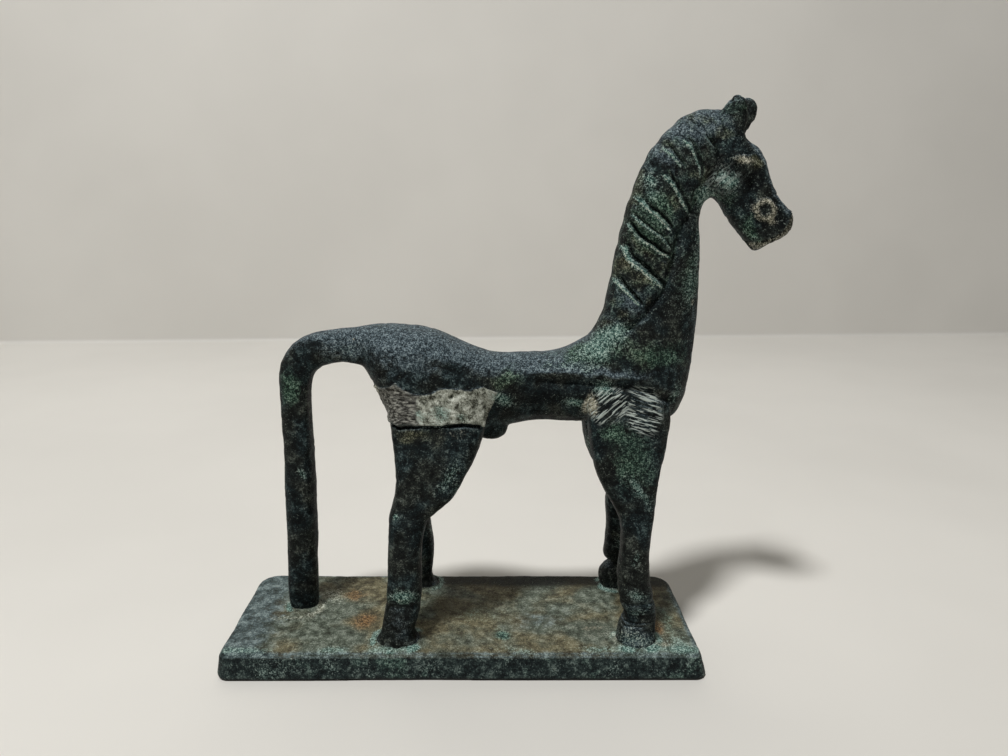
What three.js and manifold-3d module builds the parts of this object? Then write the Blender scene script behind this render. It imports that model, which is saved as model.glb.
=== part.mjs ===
// A small cast bronze horse, standing fused to its own rectangular plinth.
// Millimetres. X runs from the tail towards the head, Y away from the horse's right side, Z up.
// The origin is the middle of the plinth's underside.

import * as THREE from 'three';
import { mergeVertices } from 'three/addons/utils/BufferGeometryUtils.js';
import Module from 'manifold-3d';

// Driving dimensions
const PLINTH = {
  length: 120,
  width: 40.6,
  thickness: 6.5,
  flare: 1.1, // how far the foot of each side stands out past the top
  lean: 0.4, // how far the foot is shifted towards the head
  edge: 0.7, // worn rounding of the upper and lower edges
  backCorner: 5, // plan radius of the two corners behind
  frontCorner: 2,
  cornerSteps: 4,
  sideSteps: 7,
  sway: 0.3, // how far the sides wander in and out
  swayTurns: 5,
  swayStep: 2, // how much further round each side's wander starts than the last one's
  bevel: 0.3, // share of the upper edge's rounding that its first, steeper facet takes
};
const TOP = PLINTH.thickness;
const MIDDLE = 1; // the horse's middle plane stands a little behind the plinth's
const FOOT_SPREAD = 14.5; // from the middle plane to the middle of each foot
const SIDES = { trunk: 20, neck: 24, head: 20, ear: 10, tail: 10, leg: 14, lump: 10 }; // facets round it
const RINGS = { plain: 2, mane: 4, lump: 8 }; // facets from one station to the next, or from pole to pole
const SLAB = 3.2; // squareness of the flat-sided upper legs
const SHANK = 2.8; // squareness of the lower legs
// The mane's locks: heights in mm, the rest as shares of the way from crest to throat
const LOCK = {
  depth: 1.0, // of the grooves
  lift: 0.45, // of the locks
  tip: 0.12, // how far each lock's tip reaches past the grooves beside it
  edge: 0.1,
  crest: 0.35, // what is left of the relief on the crest itself
  crestWidth: 0.15,
  fullness: 0.7, // less is flatter-topped
};
// Lumps on both sides of the head: half length, half height, half width, how far the middle stands
// from the horse's middle plane, and how far the long way dips towards the nose, in radians
const BROW = { x: 65.6, z: 125.2, length: 3.7, height: 1.7, width: 1.9, out: 4.1, dip: 0.5 };
const CHEEK = { x: 61.8, z: 120.8, length: 3.2, height: 2.5, width: 1.1, out: 4, dip: 0.3 };
const NOSTRIL = { x: 71.8, z: 114.8, length: 2.5, height: 2.3, width: 1.7, out: 3.2, dip: 0.8 };
const EAR_SPREAD = 3.1; // from the middle plane to the middle of each ear
const EAR_STAGGER = 4.3; // how far the far ear leans ahead of the near one
const SHEATH = { x: 6.8, z: 59.1, length: 4.6, height: 3.2, width: 3.6 };
const FAR_HIND_AHEAD = 2.6; // how far the far hind foot stands ahead of the near one

const BRONZE = new THREE.MeshStandardMaterial({ color: 0x2e3432, roughness: 0.62, metalness: 0.75 });
const PLATE_BRONZE = new THREE.MeshStandardMaterial({ color: 0x4c4a3f, roughness: 0.75, metalness: 0.5 });

// One station of a limb: a point on its upper or rear edge, a point on its lower or front edge, half its
// thickness, the Y of its middle, where along the line between the two points it is widest, how square
// its section is (2 is an ellipse, more is boxier, less is keeled), and how far a mane covers it.
function station(x1, z1, x2, z2, half, y = MIDDLE, widest = 0.5, square = 2.4, mane = 0) {
  return {
    first: new THREE.Vector3(x1, 0, z1),
    second: new THREE.Vector3(x2, 0, z2),
    girth: new THREE.Vector3(half, y, widest),
    finish: new THREE.Vector3(square, mane, 0),
  };
}

// Two rails and the section values between them, as curves through the stations
function railsOf(stations) {
  const curve = (key) => new THREE.CatmullRomCurve3(stations.map((row) => row[key]), false, 'centripetal');
  return { first: curve('first'), second: curve('second'), girth: curve('girth'), finish: curve('finish') };
}

// A point of a section: turn 0 lies on the first rail, pi on the second
function sectionPoint(rails, t, turn) {
  const first = rails.first.getPoint(t);
  const second = rails.second.getPoint(t);
  const girth = rails.girth.getPoint(t);
  const power = 2 / rails.finish.getPoint(t).x;
  const cosine = Math.cos(turn);
  const sine = Math.sin(turn);
  const reach = Math.abs(cosine) ** power;
  const along = cosine > 0 ? girth.z * (1 - reach) : girth.z + (1 - girth.z) * reach;
  const point = first.clone().lerp(second, along);
  point.y = girth.y + girth.x * Math.sign(sine) * Math.abs(sine) ** power;
  return { point, along, hub: first.lerp(second, girth.z).setY(girth.y) };
}

// A closed body through a row of stations, with both ends flat
function limb(stations, steps, sides, relief) {
  const rails = railsOf(stations);
  const rings = (stations.length - 1) * steps;
  const positions = [];
  const triangles = [];
  for (let ring = 0; ring <= rings; ring += 1) {
    for (let side = 0; side < sides; side += 1) {
      const { point, along, hub } = sectionPoint(rails, ring / rings, (2 * Math.PI * side) / sides);
      if (relief) {
        const outward = point.clone().sub(hub).normalize();
        point.addScaledVector(outward, relief(ring / steps, along, rails.finish.getPoint(ring / rings).y));
      }
      positions.push(point.x, point.y, point.z);
    }
  }
  for (let ring = 0; ring < rings; ring += 1) {
    for (let side = 0; side < sides; side += 1) {
      const here = ring * sides + side;
      const beside = ring * sides + ((side + 1) % sides);
      triangles.push(here, beside, beside + sides, here, beside + sides, here + sides);
    }
  }
  const last = rings * sides;
  for (let side = 1; side < sides - 1; side += 1) {
    triangles.push(0, side + 1, side, last, last + side, last + side + 1);
  }
  return facedOut(positions, triangles);
}

// The same mesh with its faces pointing out, whichever way its sections ran
function facedOut(positions, triangles) {
  const corner = (index) => new THREE.Vector3().fromArray(positions, 3 * triangles[index]);
  let volume = 0;
  for (let index = 0; index < triangles.length; index += 3) {
    volume += corner(index).dot(corner(index + 1).cross(corner(index + 2)));
  }
  if (volume < 0) {
    triangles.reverse();
  }
  const geometry = new THREE.BufferGeometry();
  geometry.setAttribute('position', new THREE.Float32BufferAttribute(positions, 3));
  geometry.setIndex(triangles);
  return geometry;
}

// A rounded lump whose middle stands out from the middle plane, to one side
function lump(form, side = 0) {
  const geometry = new THREE.SphereGeometry(1, SIDES.lump, RINGS.lump);
  geometry.scale(form.length, form.width, form.height);
  geometry.rotateY(form.dip ?? 0);
  geometry.translate(form.x, MIDDLE + side * (form.out ?? 0), form.z);
  return geometry;
}

// Trunk: rump, barrel and shoulders. The widest line is a keel, nearer the back than the belly.
function trunk() {
  const rows = [
    station(-27, 84.8, -25.6, 75.5, 3.8, MIDDLE, 0.5, 2.4),
    station(-23, 85.3, -21.8, 70, 7, MIDDLE, 0.5, 2.4),
    station(-18, 85.7, -18.6, 63, 9.8, MIDDLE, 0.52, 2.4),
    station(-12, 85.4, -13, 57.5, 11.3, MIDDLE, 0.5, 2.4),
    station(-5, 83.4, -6, 56, 11.2, MIDDLE, 0.46, 2.3),
    station(1, 80.8, 1, 56.2, 10, MIDDLE, 0.42, 2.1),
    station(7, 78.8, 8, 58.6, 8.6, MIDDLE, 0.34, 1.9),
    station(14, 78.7, 15, 60.6, 7.9, MIDDLE, 0.3, 1.8),
    station(22, 79.2, 23, 61, 8, MIDDLE, 0.3, 1.8),
    station(30, 81, 31, 61, 8.9, MIDDLE, 0.36, 1.9),
    station(38, 80, 39, 61.6, 9.8, MIDDLE, 0.38, 2.1),
    station(46, 78, 46, 62.4, 9.6, MIDDLE, 0.36, 2.3),
    station(52, 76, 51, 65, 7.6, MIDDLE, 0.4, 2.3),
  ];
  return limb(rows, RINGS.plain, SIDES.trunk);
}

// Neck and chest. From the fifth station on, each one lies in a groove between two locks of the mane.
function neck() {
  const rows = [
    station(16, 78.7, 38, 62.5, 7.6),
    station(22, 79, 46, 62.2, 9),
    station(27.5, 80.9, 52.9, 62.8, 9.8, MIDDLE, 0.55, 2.4),
    station(32.1, 84.1, 55.9, 67.8, 9.3, MIDDLE, 0.55, 2.4),
    station(34.8, 89.9, 57, 73, 8.2, MIDDLE, 0.55, 2.3, 0.3),
    station(36.2, 98, 57.6, 79.4, 7.1, MIDDLE, 0.52, 2.2, 0.36),
    station(37.7, 106, 58, 87.6, 6.3, MIDDLE, 0.5, 2.2, 0.52),
    station(38.7, 111.4, 58, 95.2, 5.9, MIDDLE, 0.48, 2.2, 0.58),
    station(40.2, 117.6, 57.7, 101.8, 5.6, MIDDLE, 0.48, 2.2, 0.5),
    station(43.3, 125.8, 57.2, 107.6, 5.3, MIDDLE, 0.48, 2.2, 0.66),
    station(45.8, 129.7, 56.8, 111.4, 5.2, MIDDLE, 0.48, 2.2, 0.5),
    station(49.3, 133.9, 57, 114, 5.1, MIDDLE, 0.48, 2.3, 0.7),
    station(53.5, 136.8, 57.8, 116.1, 5, MIDDLE, 0.48, 2.4, 0.55),
    station(58.5, 137.8, 60, 117.6, 4.4, MIDDLE, 0.45, 2.4, 0.1),
  ];
  return limb(rows, RINGS.mane, SIDES.neck, maneRelief);
}

// How far the mane stands out or sinks in: rounded locks with a groove at each whole station
function maneRelief(place, along, mane) {
  if (mane <= 0) {
    return 0;
  }
  const swell = Math.abs(Math.sin(Math.PI * place));
  const reach = mane * (1 + LOCK.tip * swell);
  const cover = 1 - THREE.MathUtils.smoothstep(along, reach - LOCK.edge, reach + LOCK.edge);
  const crest = THREE.MathUtils.lerp(LOCK.crest, 1, THREE.MathUtils.smoothstep(along, 0, LOCK.crestWidth));
  return cover * crest * (LOCK.lift - LOCK.depth * (1 - swell ** LOCK.fullness));
}

// Head, from the poll to the cut-off muzzle
function head() {
  const rows = [
    station(55, 136.3, 58.6, 118.2, 4.2),
    station(60, 137.8, 60.2, 117.2, 4.8),
    station(64.3, 136.2, 61.4, 116.3, 5),
    station(66.7, 131.1, 62.4, 115.2, 5, MIDDLE, 0.45, 2.5),
    station(70.2, 128.7, 63.4, 113.8, 4.9, MIDDLE, 0.42, 2.5),
    station(72.8, 123.8, 65.2, 111.2, 4.4, MIDDLE, 0.45, 2.5),
    station(75.1, 118.9, 67.2, 108.8, 4.1, MIDDLE, 0.5, 2.6),
    station(77.8, 115.5, 69, 106.7, 4.2, MIDDLE, 0.5, 2.8),
    station(80, 113.6, 70.1, 105.5, 4.1, MIDDLE, 0.5, 2.8),
    station(80.4, 111.4, 71.2, 104.7, 3.8, MIDDLE, 0.5, 2.8),
    station(79.1, 109, 73.4, 105.5, 3.2, MIDDLE, 0.5, 2.8),
  ];
  return limb(rows, RINGS.plain, SIDES.head);
}

// An ear, a leaf that leans forward from the poll
function ear(y, ahead) {
  const rows = [
    station(58.8 + 0.4 * ahead, 134.5, 65.1 + 0.4 * ahead, 131, 2.2, y, 0.5, 2),
    station(59.7 + 0.6 * ahead, 136.9, 66 + 0.6 * ahead, 133.6, 2.1, y, 0.5, 2),
    station(60.9 + 0.9 * ahead, 138.8, 66.2 + 0.9 * ahead, 136.4, 1.8, y, 0.5, 2),
    station(62 + ahead, 140, 65.7 + ahead, 139, 1.4, y, 0.5, 2),
    station(63 + ahead, 140.6, 64.7 + ahead, 140.2, 0.6, y, 0.5, 2),
  ];
  return limb(rows, RINGS.plain, SIDES.ear);
}

// Tail, a bar that leaves the rump level, arches over and comes straight down to the plinth
function tail() {
  const rows = [
    station(-17, 85.2, -17, 74, 6, MIDDLE, 0.5, 2.6),
    station(-24, 84.9, -24.6, 74.9, 5, MIDDLE, 0.5, 2.6),
    station(-31, 84.4, -30, 75.9, 4.3, 1.2, 0.5, 2.7),
    station(-37.6, 83.3, -35.4, 74.7, 4, 1.5, 0.5, 2.8),
    station(-43.2, 80.2, -38, 72.6, 3.9, 1.8, 0.5, 2.8),
    station(-46.2, 75.3, -39, 69.2, 3.9, 2, 0.5, 2.8),
    station(-46.9, 69, -39.3, 64.6, 3.8, 2.2, 0.5, 2.8),
    station(-46.9, 54, -39.2, 52, 3.8, 2.6, 0.5, 2.8),
    station(-47.3, 37, -39.3, 36.5, 3.8, 3, 0.5, 2.8),
    station(-47.7, 20, -39.8, 20, 3.7, 3.3, 0.5, 2.8),
    station(-47.9, TOP + 3, -40.1, TOP + 3, 3.7, 3.5, 0.5, 2.8),
    station(-47.6, TOP, -40.2, TOP, 3.6, 3.5, 0.5, 2.4),
  ];
  return limb(rows, RINGS.plain, SIDES.tail);
}

// How far out the middle of a leg stands at a share of the way from hip or shoulder to foot
function spread(side, share) {
  return MIDDLE + side * THREE.MathUtils.lerp(4.5, FOOT_SPREAD, share);
}

// Hind leg, with its broad thigh, drawn in at the hock. The foot may stand further forward.
function hindLeg(side, ahead) {
  const rows = [
    station(-19, 73, 4.6, 73, 5.7, spread(side, 0.04), 0.5, SLAB),
    station(-18.4, 64, 5.8, 62.6, 5.7, spread(side, 0.2), 0.5, SLAB),
    station(-17.3, 56, 3.8, 55.6, 5.4, spread(side, 0.38), 0.5, SLAB),
    station(-16.6, 50, 1, 50, 5, spread(side, 0.52), 0.5, SLAB),
    station(-16.9, 44.6, -2.3, 44.5, 4.6, spread(side, 0.63), 0.5, SLAB),
    station(-18.2, 39.4, -8.5, 39, 4.2, spread(side, 0.73), 0.5, SHANK),
    station(-18.4, 33, -10.1, 32.6, 4, spread(side, 0.82), 0.5, SHANK),
    station(-18.5 + 0.2 * ahead, 26, -10.3 + 0.2 * ahead, 26, 3.9, spread(side, 0.88), 0.5, SHANK),
    station(-19 + 0.4 * ahead, 19.4, -10.2 + 0.4 * ahead, 19.4, 3.8, spread(side, 0.94), 0.5, SHANK),
    station(-19.8 + 0.6 * ahead, 13.6, -11.1 + 0.6 * ahead, 13.6, 3.8, spread(side, 0.98), 0.5, SHANK),
    station(-20.8 + ahead, TOP + 2.4, -12.3 + ahead, TOP + 2.4, 3.7, spread(side, 1), 0.5, SHANK),
    station(-22.2 + ahead, TOP, -10.4 + ahead, TOP, 4.4, spread(side, 1)),
  ];
  return limb(rows, RINGS.plain, SIDES.leg);
}

// Foreleg, narrowing from the shoulder to the knee. Its fetlock and foot differ from side to side.
function foreLeg(side, fetlock) {
  const rows = [
    station(31.4, 74, 50.6, 74, 5.1, spread(side, -0.04), 0.5, SLAB),
    station(30.8, 66, 51.8, 68, 5.2, spread(side, 0.12), 0.5, SLAB),
    station(31.5, 58, 50.9, 60, 5.1, spread(side, 0.33), 0.5, SLAB),
    station(33.2, 50.6, 49.3, 51.4, 4.7, spread(side, 0.5), 0.5, SLAB),
    station(36, 45, 48.2, 45.4, 4.4, spread(side, 0.6), 0.5, SLAB),
    station(39.4, 38.4, 47.6, 39, 4.1, spread(side, 0.72), 0.5, SHANK),
    station(39.7, 32, 46.9, 32, 3.9, spread(side, 0.82), 0.5, SHANK),
    ...fetlock,
  ];
  return limb(rows, RINGS.plain, SIDES.leg);
}

// Near fetlock, notched behind over a foot that flares back
const nearFetlock = [
  station(39.1, 25.5, 47, 25.5, 3.8, spread(-1, 0.9), 0.5, SHANK),
  station(39.5, 20, 48.2, 19.6, 3.8, spread(-1, 0.95), 0.5, SHANK),
  station(40.4, 16.6, 48.8, 16.6, 3.7, spread(-1, 0.97), 0.5, SHANK),
  station(41.5, 14.4, 49, 14.4, 3.5, spread(-1, 0.99), 0.5, SHANK),
  station(40, 11.4, 49.2, 11.4, 3.8, spread(-1, 1), 0.5, SHANK),
  station(39.6, TOP + 2, 49.3, TOP + 2, 3.9, spread(-1, 1), 0.5, SHANK),
  station(39.4, TOP, 49.6, TOP, 4.4, spread(-1, 1)),
];

// Far fetlock, where a sharp spur is left over the pastern and the foot is a round knob
const farFetlock = [
  station(40.4, 25.5, 48, 25.5, 3.8, spread(1, 0.9), 0.5, SHANK),
  station(40.2, 19, 48.4, 19, 3.8, spread(1, 0.95), 0.5, SHANK),
  station(40.1, 15.9, 49, 15.9, 3.6, spread(1, 0.97), 0.5, SHANK),
  station(42.7, 14.8, 49.2, 14.6, 3.4, spread(1, 0.98)),
  station(40.6, 13.2, 49.2, 13, 3.6, spread(1, 0.99)),
  station(38.8, 10.2, 49.4, 10.2, 4, spread(1, 1)),
  station(39.6, TOP, 49.6, TOP, 4.2, spread(1, 1)),
];

// Outline of the plinth in plan, grown outwards by a margin, with worn corners and wandering sides
function plinthOutline(margin) {
  const halfLength = PLINTH.length / 2;
  const halfWidth = PLINTH.width / 2;
  const corners = [
    { x: 1, y: -1, radius: PLINTH.frontCorner, from: -Math.PI / 2 },
    { x: 1, y: 1, radius: PLINTH.backCorner, from: 0 },
    { x: -1, y: 1, radius: PLINTH.backCorner, from: Math.PI / 2 },
    { x: -1, y: -1, radius: PLINTH.frontCorner, from: Math.PI },
  ];
  const outline = [];
  corners.forEach(({ x, y, radius, from }, index) => {
    for (let step = 0; step <= PLINTH.cornerSteps; step += 1) {
      const angle = from + ((Math.PI / 2) * step) / PLINTH.cornerSteps;
      outline.push(new THREE.Vector2(
        x * (halfLength - radius) + (radius + margin) * Math.cos(angle),
        y * (halfWidth - radius) + (radius + margin) * Math.sin(angle),
      ));
    }
    const next = corners[(index + 1) % corners.length];
    const start = outline[outline.length - 1];
    const end = new THREE.Vector2(
      next.x * (halfLength - next.radius) + (next.radius + margin) * Math.cos(next.from),
      next.y * (halfWidth - next.radius) + (next.radius + margin) * Math.sin(next.from),
    );
    const inward = new THREE.Vector2(start.y - end.y, end.x - start.x).normalize();
    for (let step = 1; step < PLINTH.sideSteps; step += 1) {
      const share = step / PLINTH.sideSteps;
      const wave = Math.sin(PLINTH.swayTurns * share + PLINTH.swayStep * index) ** 2;
      const wander = PLINTH.sway * Math.sin(Math.PI * share) * wave;
      outline.push(start.clone().lerp(end, share).addScaledVector(inward, wander));
    }
  });
  return outline;
}

// Plinth, a plate whose sides lean out towards its underside
function plinth() {
  const levels = [
    { z: 0, margin: PLINTH.flare - PLINTH.edge, shift: PLINTH.lean },
    { z: PLINTH.edge, margin: PLINTH.flare, shift: PLINTH.lean },
    { z: TOP - PLINTH.edge, margin: 0, shift: 0 },
    { z: TOP - PLINTH.bevel * PLINTH.edge, margin: -PLINTH.bevel * PLINTH.edge, shift: 0 },
    { z: TOP, margin: -PLINTH.edge, shift: 0 },
  ];
  const sides = plinthOutline(0).length;
  const positions = [];
  const triangles = [];
  levels.forEach(({ z, margin, shift }) => {
    plinthOutline(margin).forEach((point) => positions.push(point.x + shift, point.y, z));
  });
  for (let level = 0; level < levels.length - 1; level += 1) {
    for (let side = 0; side < sides; side += 1) {
      const here = level * sides + side;
      const beside = level * sides + ((side + 1) % sides);
      triangles.push(here, beside, beside + sides, here, beside + sides, here + sides);
    }
  }
  const centres = [0, TOP].map((z) => positions.push(0, 0, z) / 3 - 1);
  const rim = (levels.length - 1) * sides;
  for (let side = 0; side < sides; side += 1) {
    const next = (side + 1) % sides;
    triangles.push(centres[0], next, side, centres[1], rim + side, rim + next);
  }
  return facedOut(positions, triangles);
}

const wasm = await Module();
wasm.setup();

// A closed geometry as a solid that can be joined
function solidOf(geometry) {
  const bare = geometry.clone();
  bare.deleteAttribute('normal');
  bare.deleteAttribute('uv');
  const merged = mergeVertices(bare);
  return new wasm.Manifold(new wasm.Mesh({
    numProp: 3,
    vertProperties: new Float32Array(merged.attributes.position.array),
    triVerts: new Uint32Array(merged.index.array),
  }));
}

function geometryOf(solid) {
  const { vertProperties, triVerts } = solid.getMesh();
  const geometry = new THREE.BufferGeometry();
  geometry.setAttribute('position', new THREE.BufferAttribute(vertProperties, 3));
  geometry.setIndex(new THREE.BufferAttribute(triVerts, 1));
  geometry.computeVertexNormals();
  return geometry;
}

function joined(geometries) {
  return geometryOf(geometries.map(solidOf).reduce((whole, piece) => whole.add(piece)));
}

const horseForms = [
  trunk(),
  neck(),
  head(),
  tail(),
  ear(MIDDLE - EAR_SPREAD, 0),
  ear(MIDDLE + EAR_SPREAD, EAR_STAGGER),
  hindLeg(-1, 0),
  hindLeg(1, FAR_HIND_AHEAD),
  foreLeg(-1, nearFetlock),
  foreLeg(1, farFetlock),
  lump(SHEATH),
  ...[BROW, CHEEK, NOSTRIL].flatMap((form) => [lump(form, -1), lump(form, 1)]),
];

const statue = new THREE.Group();

const horse = new THREE.Mesh(joined(horseForms), BRONZE);
horse.name = 'horse';
statue.add(horse);

const plate = new THREE.Mesh(plinth(), PLATE_BRONZE);
plate.geometry.computeVertexNormals();
plate.name = 'plinth';
statue.add(plate);

export default statue;
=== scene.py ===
"""A small cast bronze horse on its plinth, with its patina, its repair and its tool marks."""

import itertools
import math

import bpy
import numpy as np
from mathutils import Matrix, Vector
from mathutils.kdtree import KDTree


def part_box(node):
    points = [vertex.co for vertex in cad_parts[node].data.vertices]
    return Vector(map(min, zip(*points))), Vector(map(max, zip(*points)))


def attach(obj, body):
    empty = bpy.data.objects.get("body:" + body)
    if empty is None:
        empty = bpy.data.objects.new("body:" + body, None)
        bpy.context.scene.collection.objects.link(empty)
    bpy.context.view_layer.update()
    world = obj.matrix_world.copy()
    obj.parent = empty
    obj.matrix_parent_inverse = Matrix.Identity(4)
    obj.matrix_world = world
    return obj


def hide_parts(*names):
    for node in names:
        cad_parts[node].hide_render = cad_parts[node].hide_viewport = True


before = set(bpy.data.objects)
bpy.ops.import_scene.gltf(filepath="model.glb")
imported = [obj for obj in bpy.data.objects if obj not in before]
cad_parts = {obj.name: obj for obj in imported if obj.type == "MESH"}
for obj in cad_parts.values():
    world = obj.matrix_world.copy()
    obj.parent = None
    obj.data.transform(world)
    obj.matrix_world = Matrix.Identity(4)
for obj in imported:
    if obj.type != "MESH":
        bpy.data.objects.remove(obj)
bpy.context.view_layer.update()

MM = 0.001

# Camera, as fitted to the plinth's corners: place in mm, angles in degrees
CAMERA_PLACE = (5.77, -186.54, 116.99)
CAMERA_PITCH = 13.49
CAMERA_YAW = 1.34
CAMERA_ROLL = 0.71
CAMERA_LENS = 27.04
SENSOR_WIDTH = 36.0

# Meshes: grid pitch in mm, rounds of smoothing and the most triangles
HORSE_GRID = 0.3
HORSE_ROUNDS = 30
HORSE_SWELL = 0.08
HORSE_TRIANGLES = 195000
PLINTH_GRID = 0.36
PLINTH_ROUNDS = 6
PLINTH_SWELL = 0.15
PLINTH_TRIANGLES = 160000

# Plinth: the tail's foot as (x, y), and how far the metal round the feet stands up
TAIL_FOOT = (-43.0, 1.0)
CRUST_ROOF = 0.9

# Horse: places as (x, z) in mm, seen from the near side
PLATE_TOP = 6.5
MIDDLE = 1.0
# Upper rims of the mane's locks, each with its strength and the width of the slope above it
LOCK_RIMS = (
    (((55.0, 132.0), (58.4, 128.2), (59.3, 125.6)), 0.35, 0.9),
    (((50.6, 131.2), (52.6, 128.4), (54.9, 124.2), (55.6, 121.0)), 0.6, 1.1),
    (((46.0, 129.2), (48.5, 126.7), (51.2, 123.8)), 0.75, 1.4),
    (((46.0, 122.8), (48.9, 120.1), (51.3, 116.4), (53.3, 113.4)), 0.9, 1.5),
    (((40.5, 117.3), (43.8, 114.1), (47.4, 111.3), (49.4, 108.9)), 1.0, 1.4),
    (((39.2, 113.6), (42.0, 111.3), (45.0, 109.3), (47.6, 107.2), (49.8, 104.6)), 0.6, 0.7),
    (((38.7, 111.2), (41.7, 107.9), (45.7, 105.5), (50.0, 102.7)), 1.0, 0.9),
    (((37.3, 106.4), (39.4, 102.6), (43.9, 99.2), (48.3, 95.6)), 1.0, 2.0),
    (((35.8, 98.4), (38.4, 95.3), (41.0, 93.1), (43.2, 91.0)), 0.9, 1.4),
)
MANE_FRONT = (
    (59.8, 125.4), (56.6, 120.0), (54.0, 113.7), (51.2, 108.5), (50.6, 102.2), (48.6, 95.4),
    (44.6, 90.0), (40.1, 85.0),
)
CHEEK_RIDGE = ((51.6, 134.7), (55.2, 131.6), (57.3, 128.9), (58.4, 126.4), (59.7, 123.6))
NOSTRIL = (71.5, 114.9)
MOUTH = ((69.6, 107.2), (72.5, 107.9), (74.8, 108.7), (76.6, 109.9), (77.8, 112.0))
BARREL_CREASE = (
    (13.2, 73.7), (21.3, 74.0), (28.7, 73.8), (38.6, 73.6), (43.6, 72.6), (47.9, 71.2), (53.7, 69.1),
)
BAND_TOP = (
    (-21.5, 71.2), (-18.6, 71.6), (-16.2, 73.0), (-14.4, 71.6), (-12.0, 70.6), (-9.2, 70.3), (-5.8, 71.6),
    (-2.4, 72.0), (1.8, 71.2), (5.1, 71.8), (8.6, 70.4),
)
BAND_BOTTOM = (
    (-19.5, 63.6), (-15.6, 62.4), (-12.7, 63.0), (-5.5, 63.1), (1.8, 63.3), (4.2, 62.6), (5.6, 61.6),
)
# Lumps and hollows: x, z, half width, half height, lean in degrees, height
MODELLING = (
    (65.2, 125.6, 3.4, 1.3, -28, 0.3),
    (70.9, 124.4, 1.0, 4.6, -20, 0.25),
    (68.6, 121.6, 2.3, 2.6, -20, -0.75),
    (69.0, 117.9, 3.0, 0.9, -20, -0.35),
    (63.4, 124.4, 1.2, 2.0, 30, -0.4),
    (60.6, 124.6, 1.6, 2.2, 10, -0.45),
    (62.2, 121.2, 2.2, 1.5, -30, 0.2),
    (65.2, 117.4, 2.0, 2.0, 0, -0.3),
    (71.5, 114.9, 3.0, 2.6, 0, 0.3),
    (71.0, 111.4, 5.0, 1.2, -55, -0.25),
    (66.4, 112.6, 0.6, 5.0, 35, 0.25),
    (50.9, 103.9, 0.9, 2.6, -25, -0.8),
    (51.6, 107.4, 1.0, 2.0, -20, -0.5),
    (47.2, 93.4, 1.6, 1.6, 0, -0.5),
    (40.0, 86.4, 1.4, 1.2, 0, -0.6),
    (46.0, 89.0, 3.0, 2.0, 30, -0.3),
    (57.0, 101.0, 2.6, 14.0, 2, 0.25),
    (3.7, 70.1, 2.3, 1.3, -5, 0.35),
    (-2.6, 69.9, 0.55, 0.55, 0, -0.9),
    (31.2, 67.6, 1.3, 2.0, -20, 0.4),
    (37.2, 67.0, 1.5, 1.1, 10, -0.3),
    (43.0, 62.4, 3.2, 1.6, 0, 0.25),
    (43.5, 59.2, 3.2, 1.2, 0, -0.35),
    (50.5, 69.5, 1.6, 4.0, 0, -0.3),
    (-12.0, 60.5, 5.0, 0.6, 0, -0.2),
    (-8.0, 52.0, 2.4, 6.0, -35, 0.3),
    (-12.5, 47.0, 2.0, 4.0, -20, -0.25),
    (-6.0, 76.0, 8.0, 1.0, -14, -0.2),
)
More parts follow.
